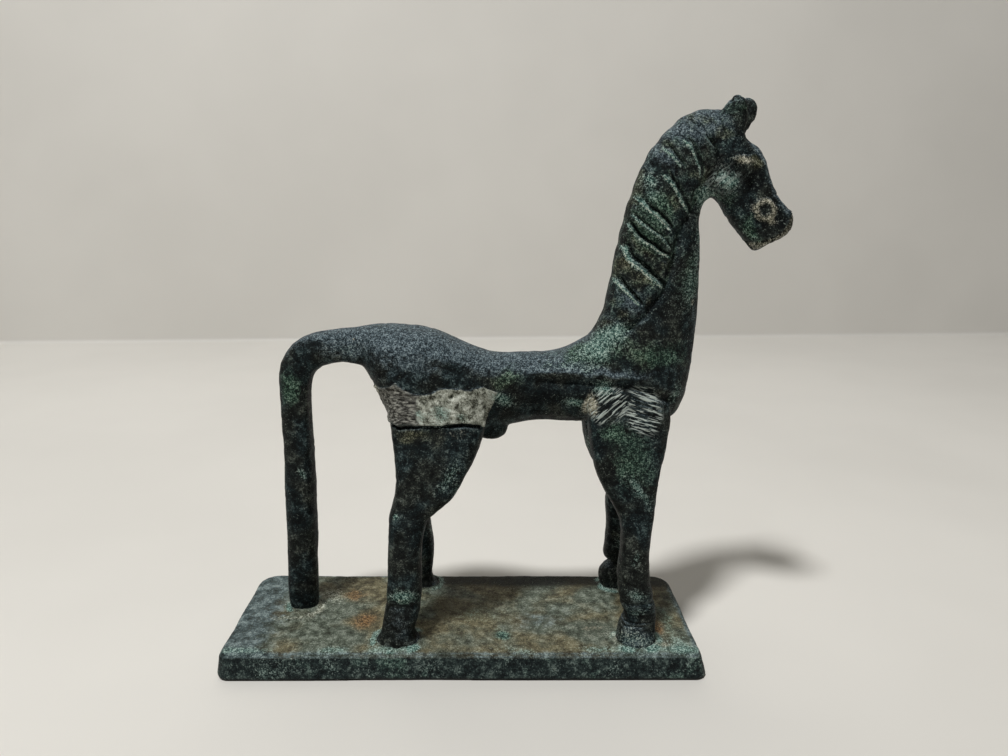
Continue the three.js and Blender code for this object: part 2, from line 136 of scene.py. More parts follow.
# Stains, painted shade and painted sheen on the near side: x, z, half width, half height, lean in degrees,
# strength
STAINS_AND_PAINTED_LIGHT = {
    "turquoise": (
        (33.4, 81.9, 6.0, 3.0, 35, 0.7),
        (38.5, 85.5, 3.0, 3.0, 40, 0.45),
        (57.4, 108.0, 1.8, 8.0, 5, 0.4),
        (55.0, 97.0, 2.4, 6.0, 0, 0.3),
        (57.0, 118.0, 2.4, 2.4, 0, 0.4),
        (62.4, 121.6, 2.6, 1.6, -20, 0.55),
        (44.6, 117.6, 2.6, 2.2, -40, 0.45),
        (43.2, 121.0, 1.8, 1.4, -40, 0.6),
        (34.2, 71.6, 2.2, 2.4, 45, 0.7),
        (52.0, 69.6, 1.8, 3.0, -20, 0.45),
        (43.6, 47.0, 1.2, 5.4, 35, 0.55),
        (-3.0, 51.0, 1.8, 5.0, -35, 0.4),
        (-0.8, 46.5, 1.8, 2.4, 0, 0.4),
        (-5.2, 66.0, 2.2, 2.6, 0, 0.6),
        (-9.6, 65.2, 1.2, 1.4, 0, 0.6),
        (-0.6, 64.6, 1.4, 1.2, 0, 0.5),
        (9.6, 68.2, 2.6, 1.8, -20, 0.7),
        (27.4, 67.6, 2.8, 1.6, -15, 0.9),
        (-41.3, 46.4, 1.2, 1.6, 0, 0.5),
        (-14.9, 19.6, 4.0, 1.5, 0, 0.7),
        (-16.7, 40.0, 0.8, 0.8, 0, 0.9),
        (43.0, 30.0, 1.4, 2.2, 0, 0.4),
        (43.8, 20.8, 2.6, 1.2, 0, 0.5),
        (44.8, 16.4, 3.2, 1.2, 0, 0.4),
        (43.6, 8.8, 5.0, 2.4, 0, 0.45),
        (-28.5, 80.0, 5.0, 1.4, 0, 0.3),
        (24.0, 76.2, 7.0, 0.7, 0, 0.35),
    ),
    "green": (
        (30.0, 80.0, 10.0, 3.5, 15, 0.7),
        (47.0, 79.5, 8.0, 3.5, 0, 0.7),
        (10.5, 74.0, 3.5, 2.8, 0, 0.6),
        (46.0, 114.6, 3.2, 3.0, -40, 0.8),
        (44.0, 108.0, 4.0, 2.6, -40, 0.5),
        (69.0, 109.8, 4.2, 2.0, -50, 0.8),
        (62.0, 117.5, 4.0, 2.5, 0, 0.5),
        (57.5, 116.5, 2.5, 2.5, 0, 0.6),
        (-43.6, 70.0, 2.8, 4.6, 10, 0.9),
        (41.5, 54.0, 6.0, 9.0, 15, 0.6),
        (36.0, 60.5, 3.0, 2.5, 0, 0.6),
        (-14.9, 19.4, 4.5, 2.2, 0, 0.7),
        (64.2, 137.4, 2.5, 2.5, 0, 0.5),
        (54.5, 99.0, 3.5, 9.0, 0, 0.5),
    ),
    "olive": (
        (67.2, 124.8, 2.4, 1.6, -20, 0.6),
        (66.0, 137.0, 2.0, 2.4, 0, 0.4),
        (40.0, 82.0, 5.0, 3.0, 30, 0.4),
        (44.0, 79.0, 4.0, 2.5, 0, 0.6),
        (10.0, 73.6, 3.6, 2.4, 0, 0.6),
        (43.5, 105.6, 4.0, 1.8, -35, 0.6),
        (46.5, 99.5, 3.0, 2.4, -35, 0.5),
        (-12.0, 60.5, 7.0, 2.4, 0, 0.6),
        (68.5, 125.5, 2.5, 1.5, 0, 0.5),
        (49.5, 115.0, 3.0, 2.4, -40, 0.5),
        (38.4, 104.4, 1.6, 3.6, 15, 0.5),
    ),
    # Blue-grey dust, and painted sheen on the upper forms: rump, back, crest, poll and barrel top
    "slate_dust_and_sheen": (
        (-14.0, 82.0, 14.0, 4.5, 0, 0.6),
        (4.0, 80.5, 10.0, 3.5, -20, 0.5),
        (-30.0, 81.5, 8.0, 3.5, 5, 0.6),
        (53.4, 133.4, 4.4, 3.4, -40, 1.0),
        (47.0, 126.6, 3.0, 2.6, -40, 0.5),
        (59.0, 134.0, 4.0, 2.4, 0, 0.6),
        (71.0, 125.6, 1.2, 5.0, 28, 0.8),
        (75.4, 117.4, 1.4, 4.0, 35, 0.5),
        (24.0, 77.0, 12.0, 2.4, 0, 0.4),
        (40.0, 75.4, 12.0, 1.2, 0, 0.5),
        (58.4, 80.0, 1.8, 9.0, 0, 0.6),
        (56.5, 92.0, 1.6, 6.0, 0, 0.4),
        (41.0, 93.0, 3.0, 2.4, -40, 0.5),
        (-17.0, 50.0, 5.0, 12.0, 0, 0.1),
        (-14.0, 76.0, 9.0, 4.0, 0, 0.3),
        (-15.8, 12.4, 4.0, 4.0, 0, 0.4),
        (44.4, 9.0, 4.5, 3.0, 0, 0.8),
    ),
    "pale": (
        (64.4, 126.0, 1.7, 0.9, -20, 0.7),
        (66.4, 125.4, 1.4, 0.6, -20, 0.4),
        (31.2, 67.4, 1.5, 2.3, -20, 1.2),
        (-21.6, 70.2, 0.8, 1.6, 20, 0.9),
        (-20.6, 16.0, 0.4, 2.6, 0, 0.5),
        (-14.8, 18.6, 1.0, 0.4, -10, 0.5),
        (37.8, 10.0, 0.9, 2.0, 20, 0.6),
        (56.0, 93.0, 0.7, 0.5, 0, 0.8),
        (-1.6, 60.6, 4.0, 1.0, 0, 0.25),
        (-26.0, 82.2, 0.5, 0.5, 0, 0.6),
        (73.2, 112.0, 1.4, 0.8, -20, 0.5),
        (43.0, 9.4, 3.6, 2.2, 0, 0.25),
    ),
    # Painted shade in hollows and under overhangs, as under the barrel, round the eye and below the nostril,
    # with a few dark stains
    "shade_and_stain": (
        (20.0, 69.0, 14.0, 3.6, 0, 0.6),
        (56.0, 74.0, 3.0, 5.0, 0, 0.2),
        (68.4, 121.4, 2.4, 2.6, 0, 1.0),
        (60.6, 124.6, 2.2, 2.6, 0, 0.7),
        (65.0, 117.0, 2.4, 2.4, 0, 0.5),
        (54.6, 105.6, 2.0, 4.0, -15, 0.6),
        (47.5, 90.5, 4.0, 3.5, 20, 0.6),
        (40.0, 86.6, 2.0, 1.6, 0, 0.7),
        (75.5, 112.0, 2.8, 2.6, 0, 0.9),
        (69.4, 109.6, 2.4, 2.0, 0, 0.4),
        (34.8, 57.6, 4.0, 2.2, 0, 0.5),
        (47.0, 61.0, 3.0, 2.0, 0, 0.4),
        (36.0, 47.0, 2.0, 8.0, 25, 0.4),
        (9.5, 64.0, 3.0, 3.0, 0, 0.4),
        (39.0, 67.6, 8.0, 5.0, 0, 0.4),
        (43.5, 14.0, 5.0, 5.0, 0, 0.3),
    ),
}


# Numbers over the surface
def step(value, low, high):
    """0 below low, 1 above high, and smooth between."""
    t = np.clip((value - low) / (high - low), 0.0, 1.0)
    return t * t * (3.0 - 2.0 * t)


def bell(distance, width):
    """1 at no distance, and nearly 0 past two widths."""
    return np.exp(-((distance / width) ** 2))


def noise(points, size, seed):
    """Smooth values from -1 to 1 over points, in lumps about size across."""
    p = np.asarray(points, float) / size + 17.31 * seed
    cell = np.floor(p).astype(np.int64)
    f = p - cell
    f = f * f * (3.0 - 2.0 * f)
    total = np.zeros(len(p))
    for corner in itertools.product((0, 1), repeat=3):
        c = cell + np.array(corner)
        h = (c[:, 0] * 73856093) ^ (c[:, 1] * 19349663) ^ (c[:, 2] * 83492791) ^ (seed * 2654435)
        h = ((h ^ (h >> 13)) * 1274126177) & 0xFFFFFFFF
        h = ((h ^ (h >> 16)) * 2246822519) & 0xFFFFFFFF
        value = ((h >> 8) & 0xFFFF) / 32767.5 - 1.0
        total += value * np.prod(np.where(corner, f, 1.0 - f), axis=1)
    return total


def rough(points, size, seed, octaves=3):
    """Noise with finer and weaker noise on it."""
    total = 0.0
    for k in range(octaves):
        total = total + noise(points, size / 2.0**k, seed + 7 * k) / 2.0**k
    return total / 1.5


def along(xz, line):
    """How far each place is from a line of points, with + on the line's left, and the length run along it."""
    best = np.full(len(xz), 1e9)
    signed = np.zeros(len(xz))
    run = np.zeros(len(xz))
    start = 0.0
    for a, b in itertools.pairwise(np.array(line, float)):
        way = b - a
        length = math.hypot(*way)
        raw = ((xz - a) @ way) / length**2
        t = np.clip(raw, 0.0, 1.0)
        gap = xz - a - t[:, None] * way
        d = np.hypot(gap[:, 0], gap[:, 1])
        side = np.sign(way[0] * gap[:, 1] - way[1] * gap[:, 0])
        closer = d < best
        best = np.where(closer, d, best)
        signed = np.where(closer, d * side, signed)
        run = np.where(closer, start + t * length, run)
        start += length
    return signed, run, start


def spot(xz, place, wide, tall=None, lean=0.0):
    """A soft oval of 1 at its middle; lean turns its long way, in degrees."""
    tall = wide if tall is None else tall
    c, s = math.cos(math.radians(lean)), math.sin(math.radians(lean))
    d = xz - np.array(place)
    u = d[:, 0] * c + d[:, 1] * s
    v = -d[:, 0] * s + d[:, 1] * c
    return np.exp(-((u / wide) ** 2) - (v / tall) ** 2)


class Skin:
    """One casting's fine mesh, with its vertices in mm as arrays."""

    def __init__(self, node, grid):
        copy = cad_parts[node].copy()
        copy.data = copy.data.copy()
        bpy.context.scene.collection.objects.link(copy)
        remesh = copy.modifiers.new("grid", "REMESH")
        remesh.mode = "VOXEL"
        remesh.voxel_size = grid * MM
        bpy.context.view_layer.update()
        seen = copy.evaluated_get(bpy.context.evaluated_depsgraph_get())
        self.mesh = bpy.data.meshes.new_from_object(seen)
        bpy.data.objects.remove(copy)
        self.node = node
        low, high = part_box(node)
        self.low = np.array(low) / MM
        self.high = np.array(high) / MM
        self.read()

    def read(self):
        count = len(self.mesh.vertices)
        co = np.zeros(count * 3)
        self.mesh.vertices.foreach_get("co", co)
        self.p = co.reshape(-1, 3) / MM
        pairs = np.zeros(len(self.mesh.edges) * 2, np.int64)
        self.mesh.edges.foreach_get("vertices", pairs)
        self.a, self.b = pairs.reshape(-1, 2).T
        self.links = np.bincount(self.a, minlength=count) + np.bincount(self.b, minlength=count)
        self.links = np.maximum(self.links, 1)

    def write(self):
        self.mesh.vertices.foreach_set("co", (self.p * MM).ravel())
        self.mesh.update()

    def normals(self):
        self.write()
        n = np.zeros(len(self.p) * 3, np.float32)
        self.mesh.vertex_normals.foreach_get("vector", n)
        return n.reshape(-1, 3).astype(float)

    def averaged(self, values, rounds, share=0.5):
        """Values mixed with their neighbours', round after round."""
        values = np.array(values, float)
        flat = values.ndim == 1
        if flat:
            values = values[:, None]
        share = np.reshape(share, (-1, 1))
        count = len(self.p)
        for _ in range(rounds):
            total = np.empty_like(values)
            for axis in range(values.shape[1]):
                column = values[:, axis]
                total[:, axis] = np.bincount(self.a, column[self.b], count)
                total[:, axis] += np.bincount(self.b, column[self.a], count)
            values = values + share * (total / self.links[:, None] - values)
        return values[:, 0] if flat else values

    def push(self, relief):
        """Moves the surface out along its normals by relief, in mm."""
        self.p = self.p + self.normals() * relief[:, None]

    def fit(self, roof=0.0):
        self.p = np.clip(self.p, self.low, self.high + np.array([0.0, 0.0, roof]))

    def hollows(self, rounds=10):
        """Above 0 in hollows and below 0 on ridges, in mm."""
        gap = self.averaged(self.p, rounds) - self.p
        return np.einsum("ij,ij->i", gap, self.normals())

    def thinned(self, triangles):
        """Collapses edges where the surface is plain, down to a number of triangles."""
        self.write()
        self.mesh.calc_loop_triangles()
        ratio = triangles / len(self.mesh.loop_triangles)
        if ratio < 1.0:
            work = bpy.data.objects.new("thin", self.mesh)
            bpy.context.scene.collection.objects.link(work)
            decimate = work.modifiers.new("thin", "DECIMATE")
            decimate.ratio = ratio
            bpy.context.view_layer.update()
            seen = work.evaluated_get(bpy.context.evaluated_depsgraph_get())
            self.mesh = bpy.data.meshes.new_from_object(seen)
            bpy.data.objects.remove(work)
            self.read()

    def paint(self, name, values):
        """Keeps values from 0 to 1 on the vertices, for the material to read."""
        layer = self.mesh.attributes.new(name, "FLOAT", "POINT")
        layer.data.foreach_set("value", np.clip(values, 0.0, 1.0).astype(np.float32))

    def piece(self, name, material, slot):
        self.write()
        self.mesh.name = name
        self.mesh.shade_smooth()
        self.mesh.materials.clear()
        self.mesh.materials.append(material)
        made = bpy.data.objects.new(name, self.mesh)
        bpy.context.scene.collection.objects.link(made)
        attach(made, "root")
        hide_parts(self.node)
        return made


# The casting's surface
def hand(p, amount=0.3):
    """Places (x, z) pulled about a little, so that lines look cut by hand."""
    wander = np.stack([noise(p, 3.2, 81), noise(p, 3.2, 82)], 1)
    return p[:, [0, 2]] + amount * wander


def cast_relief(p):
    """The uneven skin that the mould leaves, with wrinkles and pits."""
    lumps = 0.15 * noise(p, 7.0, 3) + 0.12 * rough(p, 3.2, 5) + 0.05 * noise(p, 1.1, 9)
    wrinkles = bell(noise(p, 3.8, 15), 0.09) * step(noise(p, 5.0, 17), 0.1, 0.5)
    pits = step(noise(p, 1.7, 41), 0.62, 0.9) + step(noise(p, 0.9, 43), 0.72, 0.95)
    return lumps - 0.14 * wrinkles - 0.18 * pits


def near_side(p, soft=2.0):
    return step(MIDDLE - p[:, 1], 0.0, soft)


def far_side(p, soft=2.0):
    return step(p[:, 1] - MIDDLE, 0.0, soft)


def both_sides(p):
    """The near side's carving runs on over the crest, a little weaker on the far side."""
    return near_side(p, 0.5) + 0.8 * far_side(p, 0.5)


def in_mane(xz):
    """1 on the mane, 0 on the neck's front."""
    signed, _, _ = along(xz, MANE_FRONT)
    up = step(xz[:, 1], 83.0, 88.0) * step(64.0 - xz[:, 0], 0.0, 3.0)
    return step(-signed, -0.5, 0.5) * up


def shingle(s, width):
    """Heights across a lock's rim: its back falls away below, and a slope falls to a groove above."""
    back = 0.42 * np.clip(1.0 + s / 3.4, 0.0, 1.0) ** 2
    slope = 0.42 - 1.3 * np.clip(s / width, 0.0, 1.0)
    wall = np.clip(1.0 - (s - width) / 0.6, 0.0, 1.0)
    return np.where(s < 0.0, back, slope * wall)


def lock_fields(p):
    """The locks' relief, their rims, the slopes above the rims and the grooves above the slopes."""
    xz = hand(p)
    relief, rim, slope, groove = (np.zeros(len(p)) for _ in range(4))
    for line, strength, width in LOCK_RIMS:
        signed, run, length = along(xz, line)
        ends = step(run, -0.4, 2.4) * step(length - run, -0.4, 2.0)
        narrowing = width * (1.0 - 0.45 * run / length)
        cut = strength * ends * step(length - run + 0.1, 0.0, 0.4)
        relief += cut * shingle(signed, narrowing)
        lit = cut * (1.0 - 0.6 * run / length)
        rim = np.maximum(rim, cut * bell(signed, 0.25))
        near = step(signed, -0.4, 0.0)
        slope = np.maximum(slope, lit * near * step(narrowing - signed, -0.1, 0.9))
        groove = np.maximum(groove, cut * near * bell(signed - narrowing - 0.1, 0.4))
    return relief, rim, slope, groove


def mane_relief(p):
    relief, rim, _, _ = lock_fields(p)
    signed, run, _ = along(hand(p), MANE_FRONT)
    valley = bell(signed + 0.3, 0.8) * step(run, 0.0, 4.0) * (1.0 - rim)
    tips = bell(signed + 2.2, 1.3) * step(run, 3.0, 8.0)
    return both_sides(p) * step(p[:, 2], 83.0, 87.0) * (relief - 0.7 * valley + 0.25 * tips)


def modelled_relief(p):
    """Lumps and hollows on the near side; those of the head and neck are on the far side too."""
    xz = hand(p, 0.2)
    sides = near_side(p) + 0.7 * far_side(p) * step(p[:, 2], 84.0, 88.0)
    return sides * sum(height * spot(xz, (x, z), w, h, lean) for x, z, w, h, lean, height in MODELLING)


def head_relief(p):
    xz = hand(p, 0.35)
    r = np.hypot(*(xz - np.array(NOSTRIL)).T)
    ridge, _, _ = along(xz, CHEEK_RIDGE)
    mouth, _, _ = along(xz, MOUTH)
    r = r + 0.7 * rough(p, 1.8, 23)
    ring = 0.4 * bell(r - 2.1, 0.75) - 0.7 * bell(r, 1.0)
    cheek = 0.45 * bell(ridge, 0.5) - 0.45 * bell(ridge - 1.1, 0.7)
    muzzle = step(p[:, 0], 66.0, 69.0) * step(118.0 - p[:, 2], 0.0, 4.0)
    ragged = mouth + 0.5 * rough(p, 1.4, 21)
    lip = -0.5 * step(-ragged, 0.0, 0.35) + 0.2 * bell(ragged - 0.3, 0.4)
    head = step(p[:, 2], 100.0, 104.0) * step(p[:, 0], 57.0, 61.0)
    hacked = 0.14 * rough(p, 2.6, 27) - 0.2 * bell(noise(p, 3.0, 29), 0.1)
    ears = step(p[:, 2], 131.5, 134.0) * step(p[:, 0], 59.0, 61.0)
    return both_sides(p) * (ring + cheek + muzzle * lip + head * hacked) + ears * 0.2 * rough(p, 1.5, 25)


def barrel_relief(p):
    """The barrel's side overhangs its underside along a crease."""
    signed, run, length = along(hand(p), BARREL_CREASE)
    ends = step(run, 0.5, 8.0) * step(length - run, 0.2, 3.0)
    roll = 0.5 * bell(signed - 0.7, 1.1) - 0.75 * bell(signed + 0.9, 1.3)
    return (near_side(p) + 0.5 * far_side(p)) * ends * roll * 1.2


def band_fields(p):
    """The repair on the near haunch: its body, its raised lip, and the crack below it."""
    xz = hand(p, 0.2)
    top, _, _ = along(xz, BAND_TOP)
    low, _, _ = along(xz, BAND_BOTTOM)
    ragged = 0.3 * rough(p, 1.6, 33)
    right = 5.2 + 0.4 * (p[:, 2] - 62.0) - p[:, 0]
    inside = np.minimum(np.minimum(-top, low), right) + ragged
    near = step(-p[:, 1], 1.0, 4.0) * step(p[:, 0], -24.0, -22.0)
    body = step(inside, -0.12, 0.2) * near
    lip = bell(inside - 0.25, 0.3) * near * step(-p[:, 0], -8.0, 4.0)
    gaps = 0.35 + 0.65 * step(noise(p * np.array([1.0, 1.0, 0.3]), 3.5, 35), -0.3, 0.2)
    ends = step(5.0 - p[:, 0], 0.0, 1.5) * step(p[:, 0], -19.5, -17.0)
    crack = bell(low + 0.4 + 0.2 * noise(p, 1.5, 37), 0.36) * gaps * near * ends
    return body, lip, crack


def band_relief(p):
    body, lip, crack = band_fields(p)
    scratches = noise(p * np.array([0.14, 0.14, 1.0]), 0.55, 51)
    left = step(-p[:, 0], 2.0, 8.0)
    grit = rough(p, 1.4, 53) - bell(noise(p, 2.0, 55), 0.15)
    return body * (0.35 + 0.12 * left * scratches + 0.16 * (1.0 - left) * grit) + 0.25 * lip - 1.0 * crack


def file_fields(p):
    """The filed shoulder: the strokes' height, and where they rise and fall to the right."""
    xz = hand(p, 0.25)
    rising = step(spot(xz, (35.2, 67.6), 5.4, 4.4, 20), 0.3, 0.55) + 0.4 * spot(xz, (60.8, 121.6), 3.0, 3.4)
    falling = step(spot(xz, (44.0, 66.5), 5.0, 6.2, 10), 0.3, 0.55)
    return rising * near_side(p), falling * near_side(p)


def stroke(p, angle, pitch, seed):
    """Furrows that run at an angle from level, in degrees, each of its own depth."""
    c, s = math.cos(math.radians(angle)), math.sin(math.radians(angle))
    across = p[:, 2] * c - p[:, 0] * s
    run = p[:, 0] * c + p[:, 2] * s
    count = across / pitch + 0.15 * noise(p, 4.0, seed)
    depth = noise(np.stack([run / 5.0, np.floor(count), 0 * run], 1), 1.0, seed)
    wave = np.cos(2.0 * math.pi * count)
    return wave * (0.55 + 0.45 * depth)


def shoulder_relief(p):
    rising, falling = file_fields(p)
    return 0.2 * (rising * stroke(p, 40.0, 1.05, 61) + (1.0 - rising) * falling * stroke(p, -16.0, 1.0, 62))


def fetlock_relief(p):
    """The rings and the notch of the near forefoot, and the notch of the near hind foot."""
    xz = hand(p, 0.2)
    fore = near_side(p) * step(p[:, 0], 34.0, 38.0)
    rings = step(spot(xz, (45.0, 13.6), 5.5, 4.4), 0.3, 0.6) * stroke(p, 3.0, 0.95, 71)
    notch = bell(xz[:, 1] - 18.3, 0.6) + 0.6 * bell(xz[:, 1] - 22.8, 0.7)
    hind = near_side(p) * step(-p[:, 0], 2.0, 6.0) * step(p[:, 0], -26.0, -23.0)
    return fore * (0.2 * rings - 0.45 * notch) - 0.35 * hind * bell(xz[:, 1] - 17.4, 0.7)


def tail_relief(p):
    """The rod has a long blunt edge toward the front, and falls a little past it."""
    rod = step(-p[:, 0], 36.0, 37.5) * step(72.0 - p[:, 2], 0.0, 6.0) * near_side(p)
    middle = -41.6 + 0.012 * (p[:, 2] - 40.0)
    edge = 0.35 * bell(p[:, 0] - middle - 1.0, 0.9) - 0.2 * step(p[:, 0] - middle, 1.8, 3.2)
    return rod * edge


def horse_relief(p):
    return (
        cast_relief(p) + mane_relief(p) + modelled_relief(p) + head_relief(p) + barrel_relief(p)
        + band_relief(p) + shoulder_relief(p) + fetlock_relief(p) + tail_relief(p)
    )


def make_horse_skin():
    skin = Skin("horse", HORSE_GRID)
    free = step(skin.p[:, 2], PLATE_TOP + 0.2, PLATE_TOP + 1.5)
    before = skin.p.copy()
    skin.p = skin.averaged(skin.p, HORSE_ROUNDS, 0.5 * free)
    lost = np.einsum("ij,ij->i", before - skin.p, skin.normals())
    skin.push(skin.averaged(lost, 2 * HORSE_ROUNDS) + HORSE_SWELL)
    skin.push(horse_relief(skin.p) * free)
    skin.fit()
    skin.thinned(HORSE_TRIANGLES)
    return skin


# Stains, painted shade and painted sheen
def stains_and_painted_light(p, name):
    """The near side's patches of one kind, with ragged outlines; most kinds are stains, and two carry painted
    shade and painted sheen.
    """
    xz = hand(p, 1.2)
    return near_side(p) * sum(much * spot(xz, (x, z), w, h, lean) for x, z, w, h, lean, much in STAINS_AND_PAINTED_LIGHT[name])


def paint_horse(skin):
    p = skin.p
    n = skin.normals()
    fine = skin.hollows(3)
    broad = skin.hollows(24)
    _, rim, slope, groove = lock_fields(p)
    mane = both_sides(p) * in_mane(p[:, [0, 2]])
    body, lip, crack = band_fields(p)
    rising, falling = file_fields(p)
    far = far_side(p)
    cloud = step(rough(p, 9.0, 91), 0.0, 0.8)
    other = step(rough(p, 11.0, 92), 0.0, 0.8)
    # Upward-facing surfaces, lightened below as painted sheen
    up = step(n[:, 2], 0.2, 0.95)
    # Hollows: green patina and verdigris gather in them, and they are also darkened as painted shade
    deep = 0.3 * step(fine, 0.03, 0.11) + 0.7 * step(broad, 0.06, 0.45)
    proud = 0.35 * step(-fine, 0.02, 0.09) + 0.3 * step(-broad, 0.08, 0.4)
    r = np.hypot(*(hand(p, 0.35) - np.array(NOSTRIL)).T) + 0.7 * rough(p, 1.8, 23)
    mouth, _, _ = along(hand(p), MOUTH)
    muzzle = step(p[:, 0], 68.0, 70.0) * step(116.0 - p[:, 2], 0.0, 3.0)
    chin = both_sides(p) * step(-mouth - 0.2, 0.0, 0.5) * muzzle
    neck = step(p[:, 2], 84.0, 92.0) * (1.0 - in_mane(p[:, [0, 2]]))
    lit = rim + slope * (0.7 + 0.5 * noise(p, 1.4, 93))
    dull = mane * (1.0 - slope)
    crust = near_side(p) * 0.6 * bell(r - 2.1, 0.9)
    # The lock slopes that face the light get turquoise as a painted highlight, on top of verdigris on the far
    # side, in hollows and on the neck
    verdigris_and_lit_locks = mane * lit + 0.5 * far * cloud + 0.15 * deep + 0.1 * neck
    skin.paint("turquoise", stains_and_painted_light(p, "turquoise") + verdigris_and_lit_locks)
    mossy = mane * (0.45 * groove + 0.25) + 0.6 * far * other + 0.2 * deep
    skin.paint("green", stains_and_painted_light(p, "green") + mossy)
    earthy = 0.5 * dull * step(noise(p, 3.0, 94), -0.3, 0.6) + 0.4 * far * cloud
    skin.paint("olive", stains_and_painted_light(p, "olive") + earthy)
    # Blue-grey dust, with a painted sheen on upward-facing surfaces
    skin.paint("slate_dust_and_sheen", stains_and_painted_light(p, "slate_dust_and_sheen") + 0.7 * up + 0.2 * dull)
    # The locks' rims are paled as a painted highlight, besides the cream crust, chin and stains
    skin.paint("pale", stains_and_painted_light(p, "pale") + crust + 0.4 * chin + 0.55 * mane * rim)
    # Painted shade in hollows and in the mane's grooves, with the dark crack and dark stains
    skin.paint("shade_and_stain", stains_and_painted_light(p, "shade_and_stain") + 0.75 * deep + crack + mane * groove)
    # Raised places lightened: partly wear, partly painted edge sheen
    skin.paint("wear_and_edge_sheen", proud)
    skin.paint("band", body)
    skin.paint("chalk", body * step(p[:, 0] + 10.5 + noise(p, 2.5, 95), -1.5, 1.5))
    skin.paint("rising", rising)
    skin.paint("falling", falling * (1.0 - rising))


# Materials
def colour(code):
    """A colour's linear red, green and blue from its usual six-figure code."""
    parts = [int(code[k:k + 2], 16) / 255 for k in (1, 3, 5)]
    return tuple(v / 12.92 if v <= 0.04045 else ((v + 0.055) / 1.055) ** 2.4 for v in parts) + (1.0,)


class Recipe:
    """A material's nodes, made one by one."""

    def __init__(self, name):
        self.material = bpy.data.materials.new(name)
        self.material.use_nodes = True
        self.tree = self.material.node_tree
        self.shader = self.tree.nodes["Principled BSDF"]
        self.place = self.node("ShaderNodeTexCoord").outputs["Object"]

    def node(self, kind):
        return self.tree.nodes.new(kind)

    def join(self, value, socket):
        if isinstance(value, bpy.types.NodeSocket):
            self.tree.links.new(value, socket)
        else:
            socket.default_value = value

    def noise(self, size, detail=2.0, grain=0.6, shift=0.0, long=1.0, angle=0.0):
        """Noise from 0 to 1 in lumps size across, in mm, drawn out long times at an angle from level."""
        mapping = self.node("ShaderNodeMapping")
        mapping.vector_type = "TEXTURE"
        mapping.inputs["Location"].default_value = (shift, 0.7 * shift, 1.3 * shift)
        mapping.inputs["Rotation"].default_value = (0.0, -math.radians(angle), 0.0)
        mapping.inputs["Scale"].default_value = (size * MM * long, size * MM, size * MM)
        self.join(self.place, mapping.inputs["Vector"])
        texture = self.node("ShaderNodeTexNoise")
        texture.inputs["Scale"].default_value = 1.0
        texture.inputs["Detail"].default_value = detail
        texture.inputs["Roughness"].default_value = grain
        self.join(mapping.outputs["Vector"], texture.inputs["Vector"])
        return texture.outputs["Fac"]

    def math(self, operation, a, b=0.0):
        made = self.node("ShaderNodeMath")
        made.operation = operation
        self.join(a, made.inputs[0])
        self.join(b, made.inputs[1])
        return made.outputs[0]

    def spread(self, value, low, high, to_low=0.0, to_high=1.0):
        """Stretches value from low..high to to_low..to_high, smoothly, and holds it there."""
        made = self.node("ShaderNodeMapRange")
        made.interpolation_type = "SMOOTHSTEP"
        self.join(value, made.inputs["Value"])
        for key, number in (("From Min", low), ("From Max", high), ("To Min", to_low), ("To Max", to_high)):
            made.inputs[key].default_value = number
        return made.outputs["Result"]

    def ramp(self, value, codes, low=0.32, high=0.68):
        """Colours over value, spaced evenly from low to high."""
        made = self.node("ShaderNodeValToRGB")
        elements = made.color_ramp.elements
        elements.remove(elements[1])
        for k, code in enumerate(codes):
            place = low + (high - low) * k / (len(codes) - 1)
            element = elements[0] if k == 0 else elements.new(place)
            element.position = place
            element.color = colour(code)
        self.join(value, made.inputs["Fac"])
        return made.outputs["Color"]

    def read(self, name):
        made = self.node("ShaderNodeAttribute")
        made.attribute_name = name
        return made.outputs["Fac"]

    def broken(self, mask, grain, amount=1.5, low=0.15, high=0.85):
        """A mask eaten into by noise, so that it is patchy."""
        shifted = self.node("ShaderNodeMath")
        shifted.operation = "MULTIPLY_ADD"
        self.join(grain, shifted.inputs[0])
        shifted.inputs[1].default_value = amount
        shifted.inputs[2].default_value = -0.5 * amount
        return self.spread(self.math("ADD", mask, shifted.outputs[0]), low, high)

    def mix(self, share, a, b):
        made = self.node("ShaderNodeMix")
        made.data_type = "RGBA"
        self.join(share, made.inputs[0])
        self.join(a, made.inputs[6])
        self.join(b, made.inputs[7])
        return made.outputs[2]

    def bump(self, height, distance, strength, normal=None):
        made = self.node("ShaderNodeBump")
        made.inputs["Distance"].default_value = distance * MM
        made.inputs["Strength"].default_value = strength
        self.join(height, made.inputs["Height"])
        if normal is not None:
            self.join(normal, made.inputs["Normal"])
        return made.outputs["Normal"]


